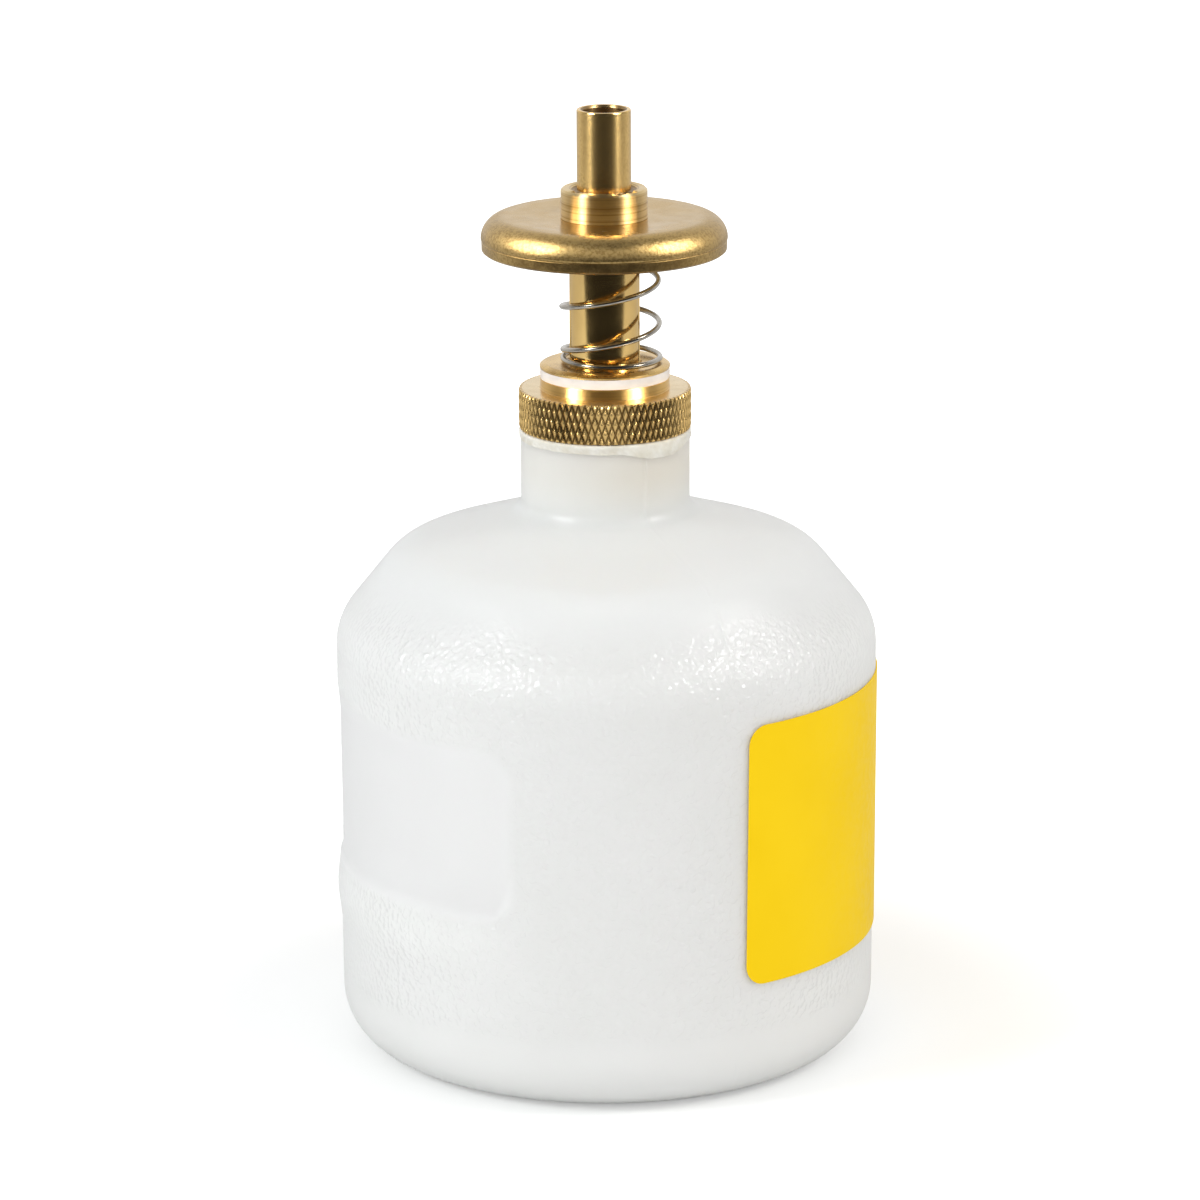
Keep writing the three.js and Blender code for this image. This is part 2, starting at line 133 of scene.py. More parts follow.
def spun(outline, azimuths, closed=True, warp=None):
    """Vertices and faces of an outline spun about Z. An open outline starts and ends on the axis."""
    rows, columns = len(outline), len(azimuths)
    angle = np.tile(azimuths, (rows, 1))
    radius = np.tile(outline[:, :1], (1, columns))
    height = np.tile(outline[:, 1:2], (1, columns))
    if warp:
        radius, height = warp(angle, radius, height)
    grid = np.stack([radius * np.sin(angle), -radius * np.cos(angle), height], -1)
    index = np.zeros((rows, columns), int)
    vertices = []
    for i in range(rows):
        if not closed and outline[i, 0] < 1e-9:
            index[i] = len(vertices)
            vertices.append([0.0, 0.0, outline[i, 1]])
        else:
            index[i] = np.arange(columns) + len(vertices)
            vertices.extend(grid[i].tolist())
    faces = []
    for i in range(rows if closed else rows - 1):
        low, high = index[i], index[(i + 1) % rows]
        for j in range(columns):
            k = (j + 1) % columns
            loop = [low[j], low[k], high[k], high[j]]
            faces.append([int(v) for n, v in enumerate(loop) if v != loop[n - 1]])
    return np.array(vertices), faces


def add_piece(name, vertices, faces, sharp=35.0):
    """A smooth-shaded mesh, with a crease where faces meet at more than the sharp angle."""
    mesh = bpy.data.meshes.new(name)
    mesh.from_pydata((np.asarray(vertices) * MM).tolist(), [], faces)
    mesh.polygons.foreach_set("use_smooth", [True] * len(mesh.polygons))
    mesh.set_sharp_from_angle(angle=math.radians(sharp))
    mesh.validate()
    obj = bpy.data.objects.new(name, mesh)
    scene.collection.objects.link(obj)
    return obj


def dress(obj, material, body, node):
    """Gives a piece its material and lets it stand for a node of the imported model."""
    obj.data.materials.clear()
    obj.data.materials.append(material)
    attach(obj, body)
    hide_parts(node)
    return obj


def turned_piece(name, corners, material, body, node, columns=144, step=9.0, sharp=35.0, warp=None):
    """A turned piece from its closed outline."""
    vertices, faces = spun(rounded(corners, step=step), even_azimuths(columns), warp=warp)
    return dress(add_piece(name, vertices, faces, sharp), material, body, node)


def paint_faces(obj, material, chosen):
    """Gives another material to the faces that are chosen by distance from the axis and by height."""
    faces = obj.data.polygons
    middle = np.zeros(len(faces) * 3)
    faces.foreach_get("center", middle)
    middle = middle.reshape(-1, 3) / MM
    index = np.zeros(len(faces), np.int32)
    faces.foreach_get("material_index", index)
    index[chosen(np.hypot(middle[:, 0], middle[:, 1]), middle[:, 2])] = len(obj.data.materials)
    obj.data.materials.append(material)
    faces.foreach_set("material_index", index)


def set_values(obj, name, values):
    """Keeps one number for each vertex, for a material to read."""
    attribute = obj.data.attributes.new(name, "FLOAT", "POINT")
    attribute.data.foreach_set("value", np.asarray(values, np.float32))


# Materials


def add_node(tree, kind, inputs=None, **settings):
    """A shader node with its settings, and a value or a link for each input that is given."""
    made = tree.nodes.new("ShaderNode" + kind)
    for key, value in settings.items():
        setattr(made, key, value)
    for key, value in (inputs or {}).items():
        if isinstance(value, bpy.types.NodeSocket):
            tree.links.new(value, made.inputs[key])
        else:
            made.inputs[key].default_value = value
    return made


class Paint:
    """A node material around one Principled shader. The plain values hold where nothing is linked."""

    def __init__(self, name, color, roughness, metallic=0.0, **sockets):
        self.material = bpy.data.materials.new(name)
        self.material.use_nodes = True
        self.tree = self.material.node_tree
        self.shader = self.tree.nodes["Principled BSDF"]
        self.shader.inputs["Base Color"].default_value = (*color, 1)
        self.shader.inputs["Roughness"].default_value = roughness
        self.shader.inputs["Metallic"].default_value = metallic
        for socket, value in sockets.items():
            self.shader.inputs[socket.replace("_", " ")].default_value = value
        self.place = self.tree.nodes.new("ShaderNodeTexCoord").outputs["Object"]

    def node(self, kind, inputs=None, **settings):
        return add_node(self.tree, kind, inputs, **settings)

    def math(self, operation, a, b=0.0):
        return self.node("Math", {0: a, 1: b}, operation=operation).outputs[0]

    def noise(self, scale, detail=2.0, roughness=0.5, distortion=0.0, vector=None, dimensions="3D"):
        inputs = {
            "Vector": self.place if vector is None else vector,
            "Scale": scale,
            "Detail": detail,
            "Roughness": roughness,
            "Distortion": distortion,
        }
        return self.node("TexNoise", inputs, noise_dimensions=dimensions).outputs["Fac"]

    def remap(self, value, low, high, to_low=0.0, to_high=1.0):
        inputs = {"Value": value, "From Min": low, "From Max": high, "To Min": to_low, "To Max": to_high}
        return self.node("MapRange", inputs, interpolation_type="SMOOTHSTEP").outputs["Result"]

    def mix(self, share, a, b):
        """A colour that goes from a to b as the share goes from 0 to 1."""
        first, second = ((*color, 1) if isinstance(color, tuple) else color for color in (a, b))
        return self.node("Mix", {0: share, 6: first, 7: second}, data_type="RGBA").outputs[2]

    def along(self):
        """Places along X, Y and Z."""
        return self.node("SeparateXYZ", {0: self.place}).outputs

    def radius(self):
        """Distance from the Z axis."""
        x, y, _ = self.along()
        return self.math("SQRT", self.math("ADD", self.math("MULTIPLY", x, x), self.math("MULTIPLY", y, y)))

    def rings(self, scale, detail):
        """Fine rings round the axis, as a lathe leaves them."""
        _, _, z = self.along()
        across = self.node("CombineXYZ", {0: self.radius(), 1: z}).outputs[0]
        return self.noise(scale, detail=detail, vector=across, dimensions="2D")

    def attribute(self, name):
        return self.node("Attribute", attribute_name=name).outputs["Fac"]

    def bump(self, height, depth, normal=None):
        """Bump whose height of 1 is depth millimetres."""
        inputs = {"Height": height, "Distance": depth * MM, "Strength": 1.0}
        if normal is not None:
            inputs["Normal"] = normal
        return self.node("Bump", inputs).outputs["Normal"]

    def link(self, value, socket):
        self.tree.links.new(value, self.shader.inputs[socket])


def make_polyethylene():
    """Milky plastic that light enters, stippled on the wall and smooth elsewhere."""
    paint = Paint(
        "polyethylene",
        (0.86, 0.875, 0.85),
        0.45,
        Subsurface_Weight=0.7,
        Subsurface_Radius=(0.0052, 0.0056, 0.0053),
        Subsurface_Scale=1.0,
        Coat_Roughness=0.19,
    )
    x, _, z = paint.along()
    cloud = paint.remap(paint.noise(38, detail=3), 0.3, 0.7)
    stipple = paint.attribute("stipple")
    wall = paint.mix(cloud, (0.84, 0.855, 0.825), (0.865, 0.88, 0.855))
    # The panel is painted a little paler than the wall: painted light that lifts the shade in its recess.
    milk = paint.mix(paint.attribute("panel"), wall, (0.878, 0.892, 0.872))
    # The shoulder is painted a little paler and greener; the paleness is painted light on the top of the bottle. The
    # neck is painted darker and warmer, more on its right: painted shade where the brass plug shows through.
    shoulder = paint.mix(paint.remap(z, 0.067, 0.074), milk, (0.882, 0.91, 0.882))
    up_neck = paint.remap(z, 0.080, 0.0895)
    to_right = paint.remap(x, -0.009, 0.009, 0.55, 1.0)
    painted_plug_shade = paint.math("MULTIPLY", up_neck, to_right)
    neck = paint.mix(painted_plug_shade, (0.825, 0.85, 0.824), (0.76, 0.715, 0.625))
    paint.link(paint.mix(paint.remap(z, 0.076, 0.0845), shoulder, neck), "Base Color")
    # The smooth shoulder and neck are glossier than the skin under the stipple.
    haze = paint.remap(paint.noise(300, detail=2), 0.3, 0.7, 0.31, 0.38)
    paint.link(paint.math("ADD", haze, paint.math("MULTIPLY", stipple, 0.12)), "Roughness")
    paint.link(paint.remap(stipple, 0.0, 1.0, 0.42, 0.25), "Specular IOR Level")
    # The stippled skin has a gloss of its own, broken up by soft pebbles less than a millimetre wide.
    pebbles = paint.noise(1330, detail=0.5, roughness=0.4)
    steep = paint.remap(paint.noise(1040, detail=0.0), 0.56, 0.68)
    relief = paint.math("ADD", paint.math("SUBTRACT", pebbles, 0.5), paint.math("MULTIPLY", steep, 0.26))
    height = paint.math("MULTIPLY", relief, stipple)
    slack = paint.bump(paint.noise(120, detail=2), 0.1)
    paint.link(paint.bump(height, 0.09, slack), "Normal")
    paint.link(paint.bump(height, 0.44, slack), "Coat Normal")
    grazing = paint.node("LayerWeight", {"Blend": 0.5}).outputs["Facing"]
    gloss = paint.remap(grazing, 0.28, 0.75, 1.0, 0.1)
    paint.link(paint.math("MULTIPLY", stipple, gloss), "Coat Weight")
    return paint.material


def make_label_film():
    """Plain yellow film."""
    paint = Paint("label_film", (0.92, 0.61, 0.004), 0.5, Specular_IOR_Level=0.1)
    tone = paint.remap(paint.noise(55, detail=3), 0.3, 0.7)
    paint.link(paint.mix(tone, (0.945, 0.625, 0.003), (0.975, 0.655, 0.006)), "Base Color")
    paint.link(paint.remap(paint.noise(900, detail=2), 0.3, 0.7, 0.4, 0.52), "Roughness")
    # The stippled wall shows faintly through the film.
    under = paint.bump(paint.noise(1000, detail=1, distortion=0.6), 0.012)
    paint.link(paint.bump(paint.noise(160, detail=2), 0.05, under), "Normal")
    return paint.material


def make_tape():
    """Soft white tape."""
    paint = Paint(
        "ptfe_tape",
        (0.86, 0.84, 0.78),
        0.55,
        Subsurface_Weight=0.3,
        Subsurface_Radius=(0.0012, 0.0011, 0.0009),
        Subsurface_Scale=1.0,
    )
    # Random patches are painted darker and warmer: painted shade of crumpled tape.
    fold_shade = paint.remap(paint.noise(420, detail=3), 0.3, 0.72)
    paint.link(paint.mix(fold_shade, (0.76, 0.70, 0.57), (0.89, 0.85, 0.75)), "Base Color")
    fibre = paint.noise(2600, detail=2)
    paint.link(paint.bump(fibre, 0.03, paint.bump(paint.noise(600, detail=2), 0.12)), "Normal")
    return paint.material


def make_gasket():
    """Matt white sheet."""
    paint = Paint("white_gasket", (0.86, 0.80, 0.77), 0.62)
    grain = paint.noise(2200, detail=2)
    tone = paint.remap(paint.noise(300, detail=3), 0.3, 0.7)
    paint.link(paint.mix(tone, (0.77, 0.71, 0.67), (0.86, 0.81, 0.77)), "Base Color")
    paint.link(paint.bump(grain, 0.03), "Normal")
    return paint.material


BRASS = (0.83, 0.565, 0.215)
DULL_BRASS = (0.44, 0.265, 0.085)


def make_brass(
    name,
    roughness,
    ring_depth,
    stain,
    bright=BRASS,
    dull=DULL_BRASS,
    anisotropic=0.0,
    grain_depth=0.0,
    uneven=0.1,
    lines=0.0,
    grooved=False,
):
    """Turned brass. Stains, dark lathe lines, grain and the grooves of the knurl each take it from bright to dull; the
    dark in the knurl's grooves is dirt and painted shade.
    """
    paint = Paint(name, bright, roughness, metallic=1.0, Anisotropic=anisotropic, Anisotropic_Rotation=0.25)
    blotch = paint.remap(paint.noise(190, detail=4, roughness=0.6), 0.42, 0.78)
    specks = paint.remap(paint.noise(1700, detail=2, roughness=0.6), 0.62, 0.75)
    share = paint.math("MULTIPLY", paint.math("MAXIMUM", blotch, specks), stain)
    normal = paint.bump(paint.rings(7000, detail=3), ring_depth)
    if lines:
        dark = paint.remap(paint.rings(3400, detail=2), 0.45, 0.72, 0.0, lines)
        share = paint.math("MAXIMUM", share, dark)
    # The knurl's grooves are painted dull: dirt in them and painted shade.
    if grooved:
        dark = paint.remap(paint.attribute("groove"), 0.35, 0.95, 0.0, 0.88)
        share = paint.math("MAXIMUM", share, dark)
    if grain_depth:
        grain = paint.noise(2800, detail=2, roughness=0.6)
        share = paint.math("MAXIMUM", share, paint.remap(grain, 0.45, 0.65, 0.0, 0.35))
        normal = paint.bump(grain, grain_depth, normal)
    paint.link(paint.mix(share, bright, dull), "Base Color")
    worn = paint.noise(520, detail=3)
    paint.link(paint.remap(worn, 0.3, 0.7, roughness * (1 - uneven), roughness * (1 + uneven)), "Roughness")
    paint.link(normal, "Normal")
    return paint.material


def make_satin_brass():
    """Blasted brass of the disc, smoother on its flat top and painted lighter there as painted light, and darkened on
    the band below its groove at the front and back, partly oxide and partly painted shade.
    """
    paint = Paint("satin_brass", (0.45, 0.29, 0.09), 0.34, metallic=1.0)
    _, y, z = paint.along()
    outward = paint.remap(paint.radius(), 0.0135, 0.0172)
    blotch = paint.remap(paint.noise(150, detail=4, roughness=0.6), 0.4, 0.78, 0.0, 0.35)
    # The flat top is painted lighter than the round edge, as painted light.
    clean = paint.mix(outward, (0.54, 0.355, 0.115), (0.48, 0.33, 0.128))
    speckle = paint.noise(2600, detail=2, roughness=0.6)
    dotted = paint.math("MULTIPLY", paint.remap(speckle, 0.44, 0.6, 0.0, 0.8), outward)
    tone = paint.mix(paint.math("MAXIMUM", blotch, dotted), clean, (0.3, 0.19, 0.065))
    # The band below the groove is darkened at the front and back only: partly oxide, partly painted shade under the
    # disc.
    below_groove = paint.remap(z, 0.12205, 0.12188)
    front_or_back = paint.remap(paint.math("ABSOLUTE", y), 0.0095, 0.0155)
    patchy = paint.remap(paint.noise(700, detail=3, roughness=0.6), 0.35, 0.65, 0.65, 0.92)
    stain = paint.math("MULTIPLY", paint.math("MULTIPLY", below_groove, front_or_back), patchy)
    paint.link(paint.mix(stain, tone, (0.16, 0.1, 0.035)), "Base Color")
    worn = paint.remap(paint.noise(420, detail=3), 0.3, 0.7, -0.03, 0.04)
    paint.link(paint.math("ADD", paint.remap(outward, 0, 1, 0.24, 0.34), worn), "Roughness")
    grain = paint.math("MULTIPLY", speckle, paint.remap(outward, 0, 1, 0.25, 1.0))
    paint.link(paint.bump(grain, 0.03), "Normal")
    return paint.material


def make_spring_steel():
    """Drawn wire."""
    paint = Paint("spring_steel", (0.46, 0.44, 0.41), 0.2, metallic=1.0)
    drawn = paint.noise(2400, detail=2)
    paint.link(paint.remap(drawn, 0.3, 0.7, 0.16, 0.24), "Roughness")
    tone = paint.remap(paint.noise(500, detail=3), 0.35, 0.75)
    paint.link(paint.mix(tone, (0.5, 0.465, 0.41), (0.38, 0.35, 0.3)), "Base Color")
    paint.link(paint.bump(drawn, 0.002), "Normal")
    return paint.material


def make_rubber():
    """Black rubber."""
    paint = Paint("nitrile", (0.018, 0.018, 0.018), 0.6)
    grain = paint.noise(1500, detail=2)
    paint.link(paint.remap(grain, 0.3, 0.7, 0.5, 0.72), "Roughness")
    paint.link(paint.mix(grain, (0.014, 0.014, 0.014), (0.026, 0.026, 0.026)), "Base Color")
    paint.link(paint.bump(grain, 0.02), "Normal")
    return paint.material


polyethylene = make_polyethylene()
label_film = make_label_film()
tape_white = make_tape()
gasket_white = make_gasket()
polished_brass = make_brass("polished_brass", roughness=0.13, ring_depth=0.0006, stain=0.25, anisotropic=0.3)
tube_brass = make_brass(
    "tube_brass", roughness=0.23, ring_depth=0.0006, stain=0.08, anisotropic=0.6, grain_depth=0.01, uneven=0.02
)
turned_brass = make_brass("turned_brass", roughness=0.4, ring_depth=0.002, stain=0.12, anisotropic=1.0, lines=0.3)
collar_brass = make_brass(
    "collar_brass", roughness=0.4, ring_depth=0.004, stain=0.2, bright=(0.79, 0.6, 0.3), anisotropic=0.95, lines=0.75
)
# Its dull colour is the dirt and painted shade in the knurl's grooves.
knurled_brass = make_brass(
    "knurled_brass",
    roughness=0.28,
    ring_depth=0.001,
    stain=0.1,
    bright=(0.75, 0.51, 0.195),
    dull=(0.115, 0.062, 0.018),
    grooved=True,
)
# Dark brass for the inside of the nozzle and the collar's inner edge: painted shade in the bore and where the collar
# meets the tube.
shaded_bore_brass = make_brass(
    "shaded_bore_brass", roughness=0.3, ring_depth=0.001, stain=0.5, bright=(0.3, 0.195, 0.085), dull=(0.15, 0.09, 0.04)
)
worn_brass = make_brass(
    "worn_brass", roughness=0.27, ring_depth=0.0015, stain=0.6, bright=(0.76, 0.52, 0.2), dull=(0.34, 0.2, 0.07)
)
faced_brass = make_brass(
    "faced_brass", roughness=0.24, ring_depth=0.0015, stain=0.3, bright=(0.77, 0.6, 0.34), dull=(0.46, 0.32, 0.14)
)
satin_brass = make_satin_brass()
spring_steel = make_spring_steel()
rubber = make_rubber()


# Bottle

FOOT_RADIUS = 39.7
SHOULDER_RADIUS = 40.05
SHOULDER_HEIGHT = 64.6
NECK_RADIUS = 12.46
RIM_HEIGHT = 93.3
WALL = 2.05
BASE_RISE = 2.4
PANEL_AZIMUTH = math.radians(-61)
PANEL_HALF_WIDTH = 25.4
PANEL_HALF_HEIGHT = 12.1
PANEL_MIDDLE = 41.8
PANEL_CORNER = 4.0
PANEL_DEPTH = 0.35
# Stands for any distance on the side of the bottle away from the panel
FAR = 80.0
SWELL_MIDDLE = 24.6
SWELL_WIDTH = 3.6
SWELL_DEPTH = 0.55
SLACK_DEPTH = 0.07
PARTING = math.radians(28.5)
RIDGE_WIDTH = 0.28
RIDGE_DEPTH = 0.11
SKIN_STEP, INSIDE_STEP = 0.62, 5.0
LABEL_AZIMUTH = math.radians(119)
LABEL_LENGTH = 123.5
LABEL_HEIGHT = 39.1
LABEL_BOTTOM = 18.6
LABEL_CORNER = 3.0
# How far the label's back and face are from the turned wall
LABEL_LIFTS = (0.1, 0.3)


def wall_radius(height):
    """The wall leans out a little towards the shoulder."""
    return FOOT_RADIUS + (SHOULDER_RADIUS - FOOT_RADIUS) * height / SHOULDER_HEIGHT


def panel_distance(angle, radius, height):
    """Distance from the panel's outline along the wall, negative inside it."""
    turned = wrapped(angle - PANEL_AZIMUTH)
    across = np.where(np.cos(turned) > 0, np.abs(radius * np.sin(turned)), FAR)
    over = across - (PANEL_HALF_WIDTH - PANEL_CORNER)
    above = np.abs(height - PANEL_MIDDLE) - (PANEL_HALF_HEIGHT - PANEL_CORNER)
    outside = np.hypot(np.maximum(over, 0), np.maximum(above, 0))
    return outside + np.minimum(np.maximum(over, above), 0) - PANEL_CORNER


def mould(angle, radius, height):
    """Moves the outside of the turned bottle: the panel, the swell below it, the parting line and slack skin."""
    turned = wrapped(angle - PANEL_AZIMUTH)
    on_wall = smooth(12.0, 16.0, height) * smooth(38.0, 39.2, radius)
    # The panel's edge is soft at the top and fades towards the front, except along the bottom.
    fading = smooth(0.3, 0.5, turned) * smooth(30.5, 37.0, height)
    edge = 0.4 + 2.0 * smooth(44.0, 54.0, height) + 1.2 * fading
    within = smooth(-edge, edge, -panel_distance(angle, radius, height))
    recess = PANEL_DEPTH * within * (1 - 0.75 * fading)
    near_panel = smooth(math.radians(46), math.radians(28), np.abs(turned))
    swell = SWELL_DEPTH * bell(SWELL_MIDDLE, SWELL_WIDTH, height) * near_panel
    on_skin = smooth(9.0, 20.0, height) * smooth(14.0, 26.0, radius)
    slack = SLACK_DEPTH * ripple(angle, height * 0.12, seed=3) * on_skin
    away = np.minimum(np.abs(wrapped(angle - PARTING)), np.abs(wrapped(angle - PARTING - math.pi)))
    # The parting line is plain on the shoulder and neck, and faint below.
    shown = smooth(9.5, 12.0, radius) * (0.2 + 0.8 * smooth(67.0, 71.0, height))
    ridge = RIDGE_DEPTH * bell(0.0, RIDGE_WIDTH, away * radius) * shown
    return radius + on_wall * (swell - recess) + slack + ridge


def bottle_azimuths():
    """Columns round the bottle, closer together at the panel's ends and the parting line."""
    columns = set(np.round(np.arange(-180.0, 180.0, 1.0), 3).tolist())
    reach = math.degrees(math.asin(PANEL_HALF_WIDTH / SHOULDER_RADIUS))
    for side in (-1, 1):
        middle = math.degrees(PANEL_AZIMUTH) + side * reach
        columns.update(np.round(np.arange(middle - 2.4, middle + 2.4, 0.3), 3).tolist())
    for middle in (math.degrees(PARTING), math.degrees(PARTING) - 180):
        columns.update(np.round(middle + np.array([-0.75, -0.5, -0.25, 0, 0.25, 0.5, 0.75]), 3).tolist())
    return np.radians(sorted(columns))


def make_bottle():
    """A turned shell, fine on the outside and coarse inside, with its outside moulded."""
    corners = [
        (0, BASE_RISE),
        (19, BASE_RISE, 1.6),
        (23, 0, 1.6),
        (FOOT_RADIUS, 0, 8.9),
        (SHOULDER_RADIUS, SHOULDER_HEIGHT, 9.0),
        (30.95, 75.9, 9.5),
        (NECK_RADIUS, 81.8, 2.6),
        (NECK_RADIUS, RIM_HEIGHT, 0.35),
        (NECK_RADIUS - WALL, RIM_HEIGHT, 0.35),
        (NECK_RADIUS - WALL, 80.4, 2.6),
        (30.1, 73.9, 7.5),
        (SHOULDER_RADIUS - WALL, 63.9, 7.0),
        (FOOT_RADIUS - WALL, WALL, 6.9),
        (22.4, WALL, 1.2),
        (18.4, BASE_RISE + WALL, 1.2),
        (0, BASE_RISE + WALL),
    ]
    points = rounded(corners, closed=False, step=5.0)
    top = int(np.argmax(points[:, 1]))
    skin = refined(points[: top + 1], SKIN_STEP, closed=False)
    inside = refined(points[top:], INSIDE_STEP, closed=False)
    outline = np.vstack([skin, inside[1:]])
    outer_rows = (np.arange(len(outline)) < len(skin))[:, None]

    def warp(angle, radius, height):
        return np.where(outer_rows, mould(angle, radius, height), radius), height

    vertices, faces = spun(outline, bottle_azimuths(), closed=False, warp=warp)
    bottle = add_piece("bottle_shell", vertices, faces, sharp=60)
    angle = np.arctan2(vertices[:, 0], -vertices[:, 1])
    radius = np.hypot(vertices[:, 0], vertices[:, 1])
    height = vertices[:, 2]
    uneven = 0.3 * ripple(angle, 0 * height, seed=31, waves=9)
    stipple = smooth(9.5, 13.0, height) * smooth(74.6, 67.0, height + uneven) * smooth(31.0, 35.5, radius)
    outside_panel = smooth(-0.2, 1.6, panel_distance(angle, radius, height))
    set_values(bottle, "stipple", stipple * outside_panel)
    set_values(bottle, "panel", (1 - outside_panel) * (radius > 38))
    dress(bottle, polyethylene, "can", "bottle")


def make_label():
    """A film strip with round corners, bent round the wall."""
    columns, rows = 150, 40
    along = np.sin(np.linspace(-1, 1, columns + 1) * math.pi / 2) * LABEL_LENGTH / 2
    into = np.maximum(0, np.abs(along) - (LABEL_LENGTH / 2 - LABEL_CORNER))
    lost = LABEL_CORNER - np.sqrt(np.maximum(0, LABEL_CORNER**2 - into**2))
    share = np.linspace(-1, 1, rows + 1)
    height = LABEL_BOTTOM + LABEL_HEIGHT / 2 + share[:, None] * (LABEL_HEIGHT / 2 - lost)[None, :]
    angle = LABEL_AZIMUTH + along[None, :] / wall_radius(height)
    slack = 0.02 * ripple(angle, height * 0.2, seed=11)
    layers = []
    for lift in LABEL_LIFTS:
        radius = wall_radius(height) + lift + slack
        layers.append(np.stack([radius * np.sin(angle), -radius * np.cos(angle), height], -1).reshape(-1, 3))
    wide = columns + 1
    sheet = wide * (rows + 1)
    faces = []
    for i in range(rows):
        for j in range(columns):
            a, b, c, d = i * wide + j, i * wide + j + 1, (i + 1) * wide + j + 1, (i + 1) * wide + j
            faces.append([sheet + a, sheet + b, sheet + c, sheet + d])
            faces.append([d, c, b, a])
    rim = list(range(wide))
    rim += [i * wide + columns for i in range(1, rows + 1)]
    rim += [rows * wide + j for j in range(columns - 1, -1, -1)]
    rim += [i * wide for i in range(rows - 1, 0, -1)]
    for n, a in enumerate(rim):
        b = rim[(n + 1) % len(rim)]
        faces.append([a, b, sheet + b, sheet + a])
    label = add_piece("label_wrap", np.vstack(layers), faces, sharp=40)
    dress(label, label_film, "can", "label")


# Thread tape

SLEEVE_INNER, SLEEVE_OUTER = 9.91, 10.31
SLEEVE_FOOT, SLEEVE_TOP = 85.4, 93.4
TAPE_TOP = 93.84
THREAD_PITCH = 3.175
THREAD_DEPTH = 0.22
SKIRT_ROWS = 14
SKIRT_TOP = 93.2
SKIRT_DROP = 1.2


def make_tape_wrap():
    """Tape on the plug's thread, squeezed out over the rim, with a ragged edge that hangs down the neck."""
    sleeve = [(SLEEVE_INNER, SLEEVE_FOOT), (SLEEVE_OUTER, SLEEVE_FOOT), (SLEEVE_OUTER, SLEEVE_TOP)]
    under = [(NECK_RADIUS + 0.04, SLEEVE_TOP)]
    drop = np.linspace(SKIRT_TOP, SKIRT_TOP - SKIRT_DROP, SKIRT_ROWS)
    inner = [(NECK_RADIUS + 0.05, z) for z in drop]
    outer = [(NECK_RADIUS + 0.17, z) for z in drop[::-1]]
    top = [(NECK_RADIUS + 0.19, 93.55), (NECK_RADIUS + 0.08, TAPE_TOP), (SLEEVE_INNER, TAPE_TOP)]
    outline = np.vstack([refined(np.array(sleeve), 0.3, closed=False), under, inner, outer, top])
    sleeve_rows = (outline[:, 0] < SLEEVE_OUTER + 0.1)[:, None]

    def warp(angle, radius, height):
        turned = np.degrees(wrapped(angle))
        wad = smooth(6.0, 40.0, turned) * smooth(78.0, 47.0, turned)
        ragged = 0.32 * ripple(angle, 0 * angle, seed=21, waves=11)
        ragged += 0.16 * np.sin(47 * angle + 3 * np.sin(5 * angle))
        reach = np.maximum(0.55 + 0.14 * ragged + 0.92 * wad, 0.3)
        hang = np.clip((SKIRT_TOP - height) / SKIRT_DROP, 0, 1)
        hung = np.where(height < SKIRT_TOP + 0.05, SKIRT_TOP - SKIRT_DROP * hang * reach, height)
        crease = 0.05 * ripple(angle, height * 5, seed=5, waves=9) + 0.03 * np.sin(61 * angle + height * 4)
        flare = 0.16 * wad * np.sin(np.clip((93.8 - hung) / 1.9, 0, 1) * math.pi)
        skirt = radius + (np.maximum(crease, -0.03) + flare) * (radius > NECK_RADIUS + 0.1)
        turn = (height - SLEEVE_FOOT) / THREAD_PITCH - angle / (2 * math.pi)
        thread = SLEEVE_OUTER - THREAD_DEPTH * (0.5 + 0.5 * np.cos(2 * math.pi * turn))
        threaded = (radius > SLEEVE_OUTER - 0.1) & (height < SLEEVE_TOP - 0.5)
        sleeved = np.where(threaded, thread, radius)
        return np.where(sleeve_rows, sleeved, skirt), np.where(sleeve_rows, height, hung)

    vertices, faces = spun(outline, even_azimuths(480), warp=warp)
    tape = add_piece("tape_wrap", vertices, faces, sharp=70)
    dress(tape, tape_white, "tape", "thread_tape")


# Knurled cap and the valve body in it

CAP_BORE = 8.01
PLUG_RADIUS, PLUG_FOOT = 9.81, 84.9
BOSS_RADIUS, BOSS_TOP = 9.49, 101.45
RING_RADIUS, RING_FOOT, RING_TOP = 12.71, 93.9, 99.85
TEETH = 80
TOOTH_HEIGHT = 2.9
KNURL_LOW, KNURL_HIGH = 94.0, 99.8
KNURL_DEPTH = 0.27
# Share of a tooth that slopes, and mesh cells across half a tooth
FLANK = 0.82
CELLS = 4


